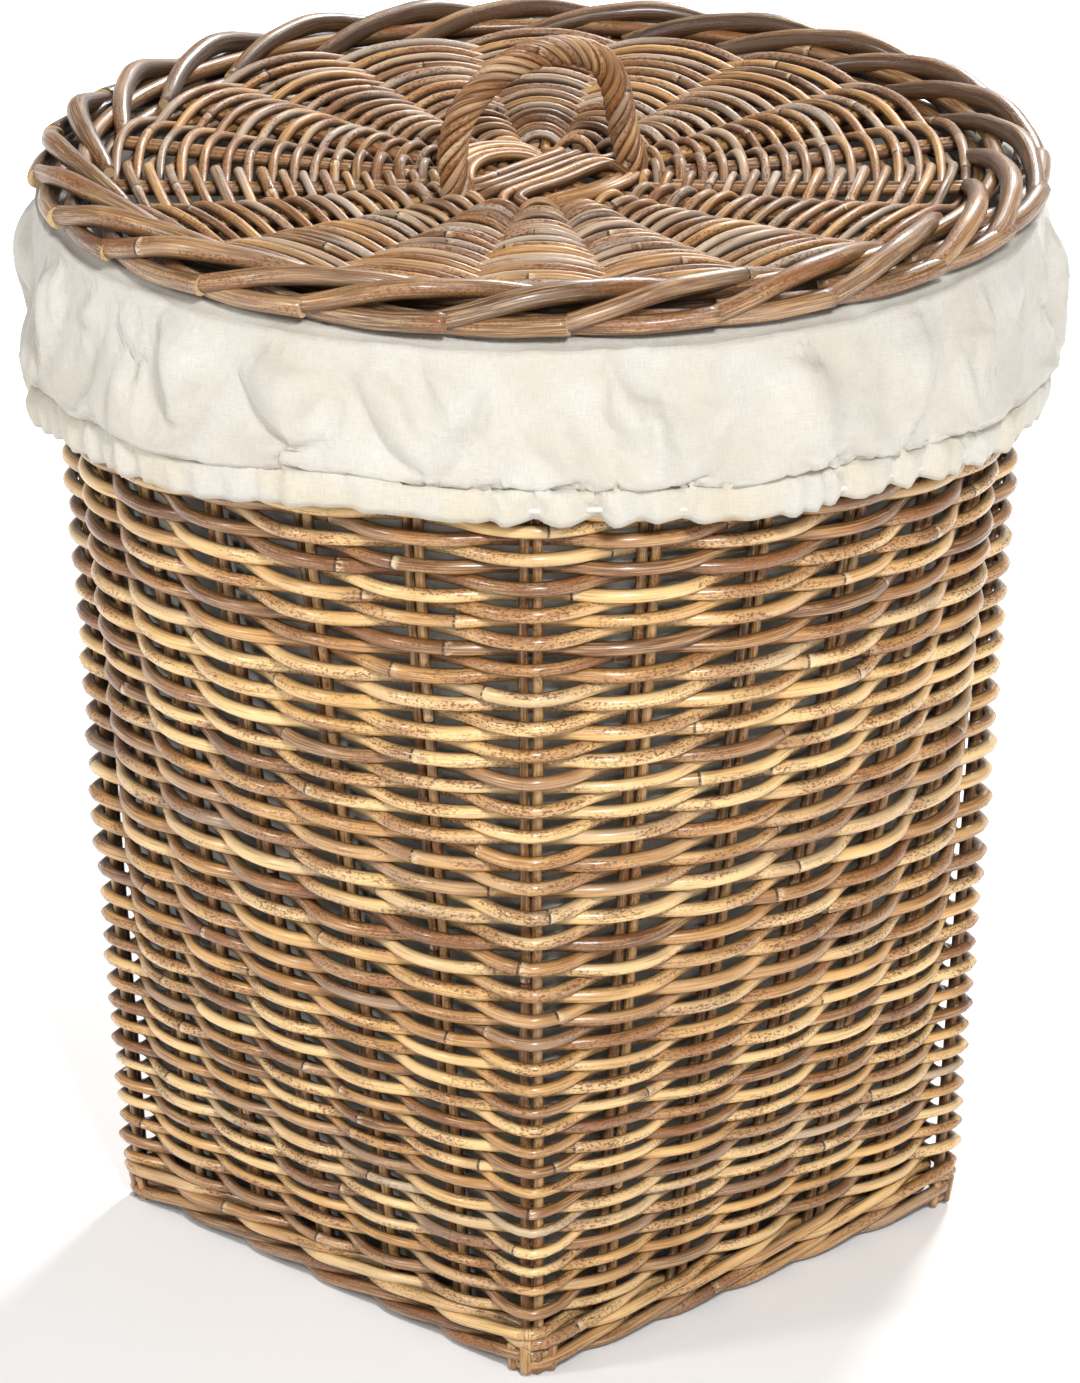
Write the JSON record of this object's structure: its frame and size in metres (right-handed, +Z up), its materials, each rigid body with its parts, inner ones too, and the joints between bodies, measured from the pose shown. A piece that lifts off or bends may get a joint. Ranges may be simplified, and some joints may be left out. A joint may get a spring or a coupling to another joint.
{
  "type": "laundry basket",
  "caption": "Tapering woven rattan laundry basket with a square foot and a round rim, a loose cotton liner folded over the rim and a loose round lid with a twisted handle.",
  "frame": {"origin": "centre of the bounding box on the floor the basket stands on", "axes": "+Z up, the sides of the square foot run along X and Y, the front is -Y"},
  "size_m": [0.504, 0.504, 0.598],
  "materials": {
    "cane_weaver": "peeled and unpeeled rattan, honey to brown, light natural sheen",
    "cane_thick": "thicker rattan sticks, brown, some greyed",
    "cane_pale": "split pale rattan",
    "cotton": "plain-woven cream cotton, matt",
    "elastic": "elastic cord"
  },
  "bodies": {
    "basket": {"floor_stick_1": "cane_thick", "floor_stick_2": "cane_thick", "floor_stick_3": "cane_thick", "floor_stick_4": "cane_thick", "floor_stick_5": "cane_thick", "floor_stick_6": "cane_thick", "floor_weave": "cane_weaver", "foot_border": "cane_thick", "foot_wale": "cane_thick", "side_weave": "cane_weaver", "rim_border": "cane_thick", "stake_01": "cane_thick", "stake_02": "cane_thick", "stake_03": "cane_thick", "stake_04": "cane_thick", "stake_05": "cane_thick", "stake_06": "cane_thick", "stake_07": "cane_thick", "stake_08": "cane_thick", "stake_09": "cane_thick", "stake_10": "cane_thick", "stake_11": "cane_thick", "stake_12": "cane_thick", "stake_13": "cane_thick", "stake_14": "cane_thick", "stake_15": "cane_thick", "stake_16": "cane_thick", "stake_17": "cane_thick", "stake_18": "cane_thick", "stake_19": "cane_thick", "stake_20": "cane_thick", "stake_21": "cane_thick", "stake_22": "cane_thick", "stake_23": "cane_thick", "stake_24": "cane_thick"},
    "liner": {"liner_bag": "cotton", "liner_floor": "cotton", "liner_fold": "cotton", "liner_skirt": "cotton", "liner_hem": "cotton", "hem_elastic": "elastic"},
    "lid": {"lid_rod_1": "cane_thick", "lid_rod_2": "cane_thick", "lid_rod_3": "cane_thick", "lid_rod_4": "cane_thick", "lid_rod_5": "cane_thick", "lid_rod_6": "cane_thick", "lid_rod_7": "cane_thick", "lid_rod_8": "cane_thick", "lid_rod_9": "cane_thick", "lid_weave": "cane_weaver", "lid_binding": "cane_pale", "lid_border_upper": "cane_thick", "lid_border_lower": "cane_thick", "handle_core": "cane_pale", "handle_twist": "cane_weaver"}
  },
  "joints": [
    {"name": "liner_lift", "type": "slide", "parent": "basket", "child": "liner", "axis": [0, 0, 1], "range_m": [0, 0.55]},
    {"name": "lid_lift", "type": "slide", "parent": "liner", "child": "lid", "axis": [0, 0, 1], "range_m": [0, 0.3]}
  ]
}
